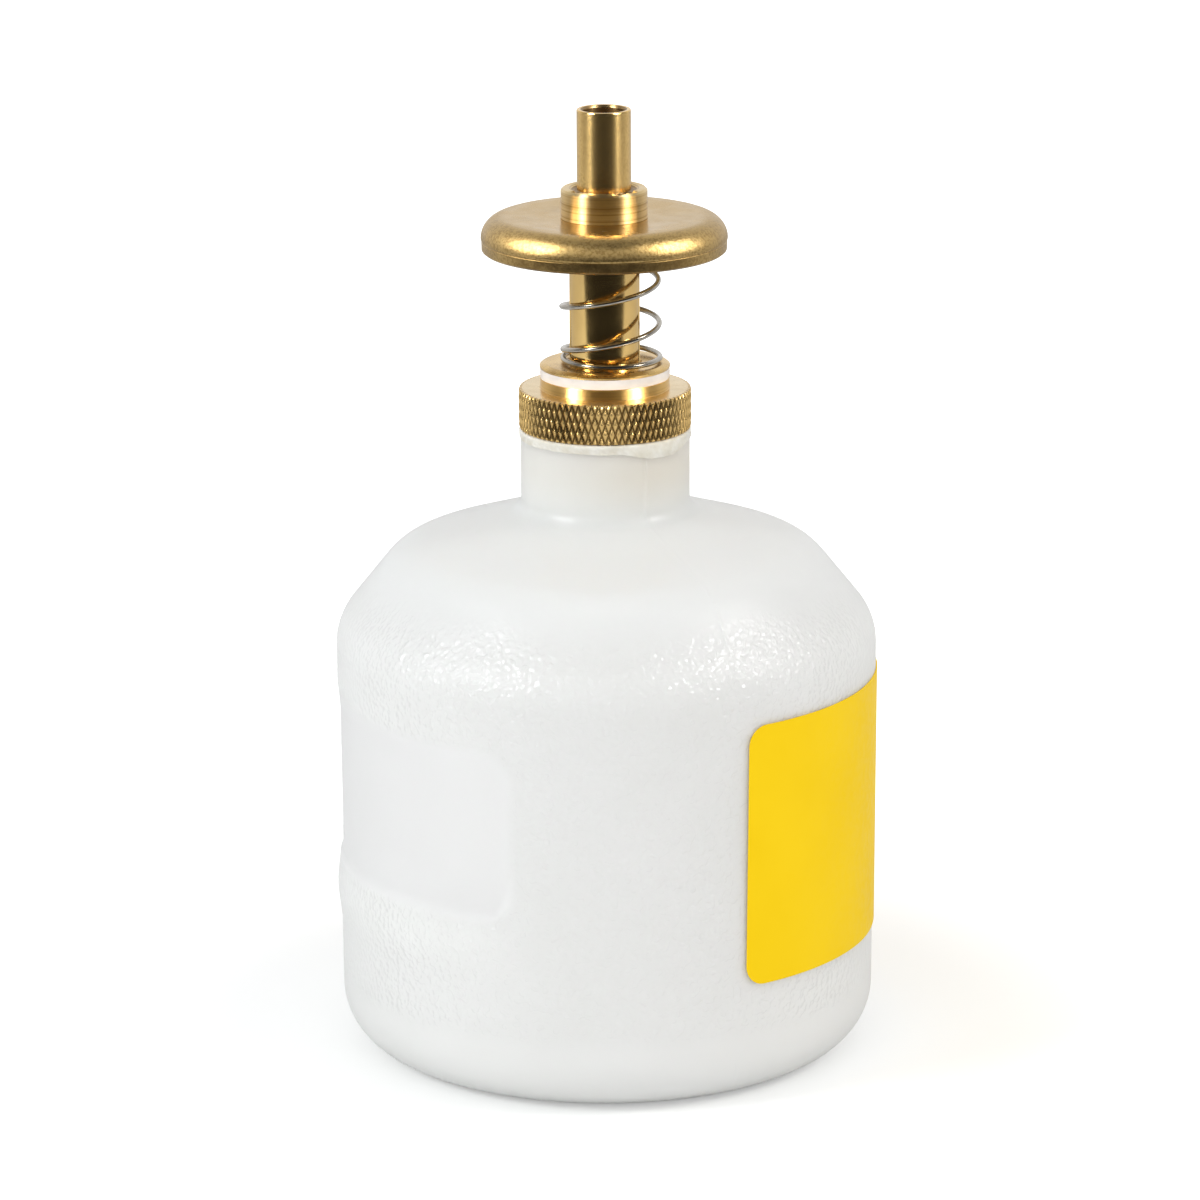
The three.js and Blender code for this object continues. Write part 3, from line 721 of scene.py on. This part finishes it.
def make_cap():
    """Brass plug with a ring of diamond teeth, cut by two crossing sets of slanted grooves."""
    below = [(CAP_BORE, PLUG_FOOT), (PLUG_RADIUS, PLUG_FOOT), (PLUG_RADIUS, RING_FOOT), (12.25, RING_FOOT)]
    rows = round((KNURL_HIGH - KNURL_LOW) / TOOTH_HEIGHT * 2) * CELLS
    ring = [(RING_RADIUS, z) for z in np.linspace(KNURL_LOW, KNURL_HIGH, rows + 1)]
    above = [(12.2, RING_TOP), (9.6, RING_TOP), (9.5, 99.93), (BOSS_RADIUS, 100.1), (BOSS_RADIUS, 101.3)]
    above += [(9.36, BOSS_TOP), (CAP_BORE, BOSS_TOP)]
    outline = np.array(below + ring + above)

    def tooth(angle, height):
        """From 0 in a groove to 1 on a tooth."""
        around = TEETH * angle / (2 * math.pi)
        up = (height - KNURL_LOW) / TOOTH_HEIGHT
        grooves = [np.abs(side - np.round(side)) * 2 for side in (around + up, around - up)]
        return np.clip(np.minimum(*grooves) / FLANK, 0, 1)

    def warp(angle, radius, height):
        land = tooth(angle, height)
        edge = np.minimum(height - KNURL_LOW, KNURL_HIGH - height)
        worn = RING_RADIUS - 0.14 * np.clip(1 - edge / 0.35, 0, 1)
        cut = np.minimum(RING_RADIUS - KNURL_DEPTH * (1 - land), worn)
        on_ring = (radius > 12.4) & (height > RING_FOOT + 0.05) & (height < RING_TOP - 0.01)
        return np.where(on_ring, cut, radius), height

    columns = TEETH * 2 * CELLS
    vertices, faces = spun(outline, even_azimuths(columns), warp=warp)
    # Each cell is split along its groove, so that the teeth have clean flats.
    first = len(below)
    whole, split = faces[: first * columns] + faces[(first + rows) * columns :], []
    for i in range(rows):
        for j in range(columns):
            a, b, c, d = faces[(first + i) * columns + j]
            if (i // CELLS + j // CELLS) % 2:
                split += [[a, b, c], [a, c, d]]
            else:
                split += [[a, b, d], [b, c, d]]
    cap = add_piece("cap_brass", vertices, whole + split, sharp=22)
    # Depth into a groove, which the knurl's material paints dark as dirt and painted shade.
    set_values(cap, "groove", 1 - tooth(np.arctan2(vertices[:, 0], -vertices[:, 1]), vertices[:, 2]))
    dress(cap, turned_brass, "cap", "knurled_cap")
    paint_faces(cap, knurled_brass, lambda out, height: (out > 12.05) & (height < RING_TOP - 0.01))
    paint_faces(cap, faced_brass, lambda out, height: (out < 12.3) & (np.abs(height - RING_TOP) < 0.011))


def make_gasket_ring():
    """Soft ring, squeezed a little unevenly."""
    corners = [(8.05, 101.46), (9.52, 101.46, 0.1), (9.6, 102.1, 1.2), (9.52, 102.89, 0.1), (8.05, 102.89)]

    def warp(angle, radius, height):
        return radius + 0.05 * ripple(angle, height, seed=8) * (radius > 9), height

    turned_piece("gasket_ring", corners, gasket_white, "cap", "cap_gasket", 192, warp=warp)


def make_valve_bush():
    """Bush that the stem slides in, with a flange for the spring and a groove for the O-ring."""
    corners = [
        (5.25, 84.0),
        (7.95, 84.0, 0.2),
        (7.95, 102.9),
        (9.55, 102.9, 0.06),
        (9.61, 103.2, 0.08),
        (9.36, 103.42, 0.15),
        (8.75, 103.65, 0.5),
        (5.5, 103.65),
        (5.25, 103.4),
        (5.25, 97.76),
        (6.91, 97.76),
        (6.91, 96.04),
        (5.25, 96.04),
    ]
    turned_piece("valve_bush", corners, worn_brass, "cap", "valve_body", 160)


# Return spring

WIRE_RADIUS = 0.405
COIL_RADIUS = 7.105
COIL_START = math.radians(-124)
# Height of the wire's centre after so many coils: a flat closed coil at each end, open and slightly slanted between
COIL_HEIGHTS = [
    (0.0, 104.255),
    (0.594, 104.3),
    (0.9, 104.75),
    (1.094, 105.55),
    (1.594, 109.45),
    (2.094, 111.95),
    (2.594, 115.85),
    (3.094, 118.25),
    (3.3, 118.98),
    (3.594, 119.5),
    (4.148, 119.745),
]


def coil_height(coil):
    """Passes smoothly through the coil heights, without overshoot."""
    at, height = np.array(COIL_HEIGHTS).T
    step = np.diff(height) / np.diff(at)
    slope = np.concatenate([[0.0], 2 / (1 / step[1:] + 1 / step[:-1]), [0.0]])
    k = np.clip(np.searchsorted(at, coil, side="right") - 1, 0, len(at) - 2)
    width = at[k + 1] - at[k]
    t = (coil - at[k]) / width
    start = (1 + 2 * t) * (1 - t) ** 2 * height[k] + t * (1 - t) ** 2 * width * slope[k]
    end = t * t * (3 - 2 * t) * height[k + 1] + t * t * (t - 1) * width * slope[k + 1]
    return start + end


def make_spring():
    """Round wire along the coils, on a mesh of its own."""
    rings, sides = 520, 16
    coil = np.linspace(0, COIL_HEIGHTS[-1][0], rings)
    angle = COIL_START + coil * 2 * math.pi
    height = coil_height(coil)
    # The loose spring sits towards the right, a little more at its foot.
    aside = 1.0 - 0.3 * (height - 104) / 16
    path = np.stack([COIL_RADIUS * np.sin(angle) + aside, -COIL_RADIUS * np.cos(angle), height], -1)
    along = np.gradient(path, axis=0)
    along /= np.linalg.norm(along, axis=1)[:, None]
    outward = np.stack([np.sin(angle), -np.cos(angle), 0 * angle], -1)
    outward -= along * (outward * along).sum(1)[:, None]
    outward /= np.linalg.norm(outward, axis=1)[:, None]
    upward = np.cross(along, outward)
    turn = np.linspace(0, 2 * math.pi, sides, endpoint=False)
    vertices = (
        path[:, None, :]
        + WIRE_RADIUS * np.cos(turn)[None, :, None] * outward[:, None, :]
        + WIRE_RADIUS * np.sin(turn)[None, :, None] * upward[:, None, :]
    ).reshape(-1, 3)
    faces = []
    for i in range(rings - 1):
        for j in range(sides):
            k = (j + 1) % sides
            faces.append([i * sides + j, (i + 1) * sides + j, (i + 1) * sides + k, i * sides + k])
    faces.append(list(range(sides)))
    faces.append(list(range((rings - 1) * sides, rings * sides))[::-1])
    spring = add_piece("spring_wire", vertices, faces, sharp=50)
    dress(spring, spring_steel, "cap", "return_spring")
    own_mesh(spring)


# Plunger

PORT_RADIUS = 1.5
PORT_HEIGHT = 87.7
DRILL_REACH = 8.0
COLLAR_TOP = 129.55
# Punch marks on the collar: azimuth and half width in degrees, and depth
MARKS = ((-52, 7, 0.5), (31, 12, 0.6), (52, 6, 0.75), (165, 9, 0.6))


def cut_ports(obj):
    """Drills the stem's two cross ports."""
    sides = 32
    around = np.linspace(0, 2 * math.pi, sides, endpoint=False)
    across, up = PORT_RADIUS * np.cos(around), PORT_HEIGHT + PORT_RADIUS * np.sin(around)
    faces = [[j, (j + 1) % sides, sides + (j + 1) % sides, sides + j] for j in range(sides)]
    faces += [list(range(sides))[::-1], list(range(sides, 2 * sides))]
    for n, turn in enumerate((0, math.pi / 2)):
        c, s = math.cos(turn), math.sin(turn)
        ends = [
            np.stack([c * across - s * reach, s * across + c * reach, up], -1) for reach in (-DRILL_REACH, DRILL_REACH)
        ]
        drill = add_piece(f"drill_{n}", np.vstack(ends), faces)
        cutter = obj.modifiers.new("port", "BOOLEAN")
        cutter.object = drill
        cutter.operation = "DIFFERENCE"
        cutter.solver = "EXACT"
        bpy.context.view_layer.update()
        mesh = bpy.data.meshes.new_from_object(obj.evaluated_get(bpy.context.evaluated_depsgraph_get()))
        obj.modifiers.clear()
        obj.data = mesh
        bpy.data.objects.remove(drill)


def make_stem():
    """Hollow stem with a closed foot, a shoulder for the disc and two cross ports."""
    outline = rounded(
        [
            (0, 85.2),
            (1.56, 85.2),
            (1.56, 82.1),
            (3.0, 82.1, 0.15),
            (3.0, 84.0),
            (5.15, 84.0, 0.2),
            (5.15, 120.15, 0.15),
            (4.75, 120.15),
            (4.75, 127.45),
            (4.03, 127.45),
            (4.03, 115.25),
            (3.17, 115.25),
            (3.17, 86.2),
            (0, 86.2),
        ],
        closed=False,
    )
    vertices, faces = spun(outline, even_azimuths(128), closed=False)
    stem = add_piece("stem_rod", vertices, faces)
    cut_ports(stem)
    stem.data.set_sharp_from_angle(angle=math.radians(35))
    dress(stem, polished_brass, "plunger", "stem")


def make_nozzle():
    """Thin tube with its bore painted dark, as painted shade."""
    corners = [
        (3.17, 115.35),
        (3.97, 115.35),
        (3.97, 141.0, 0.12),
        (3.86, 141.15, 0.05),
        (3.42, 141.15, 0.05),
        (3.17, 140.8, 0.1),
    ]
    nozzle = turned_piece("nozzle", corners, tube_brass, "plunger", "nozzle_tube", 128)
    # The bore is painted dark: painted shade inside the tube.
    paint_faces(nozzle, shaded_bore_brass, lambda out, height: (out < 3.36) & (height < 141.12))


def make_disc():
    """Satin disc with a wide round edge, a shallow dish in its top and a plain band below a fine groove."""
    corners = [
        (4.81, 120.25),
        (17.55, 120.25, 0.1),
        (17.93, 120.55, 0.15),
        (17.95, 121.8, 0.04),
        (17.88, 121.88, 0.03),
        (18.0, 122.02, 0.06),
        (18.05, 122.2, 0.1),
        (18.05, 125.45, 3.25),
        (13.6, 125.45, 9.0),
        (8.6, 125.15, 9.0),
        (4.81, 125.15),
    ]
    turned_piece("disc", corners, satin_brass, "plunger", "finger_disc", 224, step=4.0, sharp=30)


def make_collar():
    """Collar staked on to the nozzle: punch marks push its inner edge against the tube."""
    corners = [
        (4.81, 125.16),
        (6.35, 125.16, 0.06),
        (6.35, 129.24, 0.02),
        (6.05, COLLAR_TOP, 0.02),
        (4.95, COLLAR_TOP, 0.06),
        (4.62, 129.2, 0.08),
        (4.3, 129.16, 0.08),
        (4.0, 129.42, 0.05),
        (4.0, 127.55),
        (4.81, 127.55),
    ]
    outline = refined(rounded(corners), 0.13)

    def warp(angle, radius, height):
        on_top = (height > 128.9) & (radius > 4.1)
        drop = np.zeros_like(angle)
        for middle, width, depth in MARKS:
            away = np.degrees(wrapped(angle - math.radians(middle)))
            drop = drop + depth * bell(0, width, away) * smooth(6.0, 5.5, radius + 0.02 * away)
            drop = drop - 0.16 * bell(1.7 * width, 0.5 * width, np.abs(away)) * bell(5.1, 0.3, radius)
        rough = 0.85 + 0.15 * np.sin(19 * angle + 4 * np.sin(3 * angle))
        return radius, np.where(on_top, np.minimum(height - drop * rough, COLLAR_TOP), height)

    vertices, faces = spun(outline, even_azimuths(288), warp=warp)
    collar = add_piece("collar_ring", vertices, faces, sharp=28)
    dress(collar, collar_brass, "plunger", "collar")
    # The collar's inner edge against the tube is painted dark: painted shade where the parts meet.
    paint_faces(collar, shaded_bore_brass, lambda out, height: (out < 4.75) & (height > 128))


make_bottle()
make_label()
make_tape_wrap()
make_cap()
make_gasket_ring()
make_valve_bush()
make_spring()
make_stem()
make_nozzle()
make_disc()
make_collar()


# Pieces inside the valve, as packed

for node, material in (
    ("stem_o_ring", rubber),
    ("valve_seal", rubber),
    ("seal_retainer", turned_brass),
    ("retainer_screw", turned_brass),
):
    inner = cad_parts[node]
    inner.data.materials.clear()
    inner.data.materials.append(material)


# Floor, light and camera

# Light that metal sees along Y: a dark opening at the front, dim sides and a white back
TENT = ((-1.0, 0.02), (-0.55, 0.03), (-0.25, 0.1), (0.02, 0.2), (0.3, 0.55), (0.6, 0.88), (1.0, 0.97))
FILL_LIGHT = 0.685
WHITE, COOL, WARM = (1, 1, 1), (0.95, 1.0, 1.02), (1.0, 0.985, 0.94)
LAMP_DISTANCE = 0.75
LAMP_AIM = Vector((0, 0, 0.07))
# Lamps that only the metal sees, narrow ones for the turned parts and wide ones for the disc's round edge: name,
# azimuth, width, power and the pieces
SHINE_ELEVATION, SHINE_HEIGHT = 34, 0.58
SHINES = (
    ("cap_left", -62, 0.18, 10.0, ["cap_brass"]),
    ("cap_right", 61, 0.18, 10.0, ["cap_brass"]),
    ("rod_left", -62, 0.15, 9.0, ["stem_rod", "nozzle"]),
    ("rod_right", 61, 0.15, 9.0, ["stem_rod", "nozzle"]),
    ("collar_left", -64, 0.12, 3.4, ["collar_ring"]),
    ("collar_right", 64, 0.12, 2.4, ["collar_ring"]),
    ("disc_left", -78, 0.5, 7.5, ["disc"]),
    ("disc_front", 0, 0.8, 1.0, ["disc"]),
    ("disc_right", 75, 0.5, 5.5, ["disc"]),
)
# Lamps at each side: azimuth, elevation, power of the glint in the bottle's stippled skin, power and tint of the strip
SIDE_WIDTH, GLINT_HEIGHT, STRIP_HEIGHT = 0.2, 0.22, 0.24
SIDES = {"left": (-61, 30, 1.3, 1.55, COOL), "right": (72, 35, 1.3, 1.36, WARM)}


def make_floor():
    """A white table that ends a little in front of the can."""
    left, right, front, back = -0.9, 0.9, -0.26, 1.6
    mesh = bpy.data.meshes.new("floor")
    corners = [(left, front, 0), (right, front, 0), (right, back, 0), (left, back, 0)]
    mesh.from_pydata(corners, [], [[0, 1, 2, 3]])
    floor = bpy.data.objects.new("floor", mesh)
    scene.collection.objects.link(floor)
    paint = Paint("white_table", (0.78, 0.78, 0.78), 0.9, Specular_IOR_Level=0.0)
    # To the camera the table also glows, faintly near the can and more further out: painted light that whitens the
    # table beyond the can's shadow.
    seen = paint.node("LightPath").outputs["Is Camera Ray"]
    away = paint.remap(paint.radius(), 0.055, 0.14, 0.3, 0.9)
    glow = paint.node("Emission", {"Color": (1, 1, 1, 1), "Strength": paint.math("MULTIPLY", seen, away)})
    both = paint.node("AddShader", {0: paint.shader.outputs[0], 1: glow.outputs[0]})
    out = paint.tree.nodes["Material Output"]
    paint.tree.links.new(both.outputs[0], out.inputs["Surface"])
    mesh.materials.append(paint.material)


def make_world():
    """White all round to the camera; metal sees a white tent with a dark opening at the front."""
    world = bpy.data.worlds.new("tent")
    world.use_nodes = True
    scene.world = world
    tree = world.node_tree
    background = tree.nodes["Background"]

    def node(kind, inputs=None, **settings):
        return add_node(tree, kind, inputs, **settings)

    path = node("LightPath").outputs
    way = node("SeparateXYZ", {0: node("TexCoord").outputs["Generated"]}).outputs
    span = node("MapRange", {"Value": way["Y"], "From Min": -1.0, "From Max": 1.0}).outputs["Result"]
    ramp = node("ValToRGB", {"Fac": span})
    bands = ramp.color_ramp.elements
    while len(bands) < len(TENT):
        bands.new(0.5)
    for band, (place, light) in zip(bands, TENT):
        band.position = (place + 1) / 2
        band.color = (light, light, light, 1)
    rays = {0: path["Is Glossy Ray"], 1: path["Is Transmission Ray"]}
    mirrored = node("Math", rays, operation="MAXIMUM").outputs[0]
    fill = node("Mix", {0: mirrored, 2: FILL_LIGHT, 3: ramp.outputs["Color"]}, data_type="FLOAT").outputs[0]
    level = node("Mix", {0: path["Is Camera Ray"], 2: fill, 3: 1.0}, data_type="FLOAT").outputs[0]
    background.inputs["Color"].default_value = (1, 1, 1, 1)
    tree.links.new(level, background.inputs["Strength"])


def add_softbox(name, azimuth, elevation, width, height, power, tint=WHITE, distance=LAMP_DISTANCE):
    """A rectangular lamp that faces the can and isn't seen itself."""
    lamp = bpy.data.lights.new(name, "AREA")
    lamp.shape = "RECTANGLE"
    lamp.size, lamp.size_y = width, height
    lamp.energy = power
    lamp.color = tint
    box = bpy.data.objects.new(name, lamp)
    a, e = math.radians(azimuth), math.radians(elevation)
    out = Vector((math.sin(a) * math.cos(e), -math.cos(a) * math.cos(e), math.sin(e)))
    box.location = LAMP_AIM + out * distance
    box.rotation_euler = out.to_track_quat("Z", "Y").to_euler()
    box.visible_camera = False
    scene.collection.objects.link(box)
    return box


def light_only(box, pieces):
    """Lets a lamp light only these pieces."""
    seen_by = bpy.data.collections.new("seen_by_" + box.name)
    for piece in pieces:
        seen_by.objects.link(bpy.data.objects[piece])
    box.light_linking.receiver_collection = seen_by


def add_camera():
    """At the photograph's place: 850 mm away, looking 15.1 degrees down."""
    tilt, roll = math.radians(15.14777), math.radians(0.277375)
    right = Vector((1, 0, 0))
    forward = Vector((0, math.cos(tilt), -math.sin(tilt)))
    up = Vector((0, math.sin(tilt), math.cos(tilt)))
    across = right * math.cos(roll) - up * math.sin(roll)
    above = right * math.sin(roll) + up * math.cos(roll)
    data = bpy.data.cameras.new("photo_camera")
    data.sensor_width = 36
    data.lens = 171.8785
    data.clip_end = 20
    camera = bpy.data.objects.new("photo_camera", data)
    place = Matrix((across, above, -forward)).transposed().to_4x4()
    place.translation = Vector((-0.87452, -820.46683, 289.4712)) * MM
    camera.matrix_world = place
    scene.collection.objects.link(camera)
    scene.camera = camera


make_floor()
make_world()
for name, azimuth, width, power, pieces in SHINES:
    light_only(add_softbox("shine_" + name, azimuth, SHINE_ELEVATION, width, SHINE_HEIGHT, power), pieces)
for side, (azimuth, elevation, power, _, _) in SIDES.items():
    glint = add_softbox("glint_" + side, azimuth, elevation, SIDE_WIDTH, GLINT_HEIGHT, power)
    light_only(glint, ["bottle_shell"])
    glint.visible_diffuse = False
for side, (azimuth, elevation, _, power, tint) in SIDES.items():
    add_softbox("strip_" + side, azimuth, elevation, SIDE_WIDTH, STRIP_HEIGHT, power, tint)
front_fill = add_softbox("front_fill", -15, 12, 0.7, 0.6, 1.9, tint=(1.0, 1.0, 0.985), distance=0.95)
front_fill.visible_glossy = False
add_camera()
scene.view_settings.view_transform = "Standard"
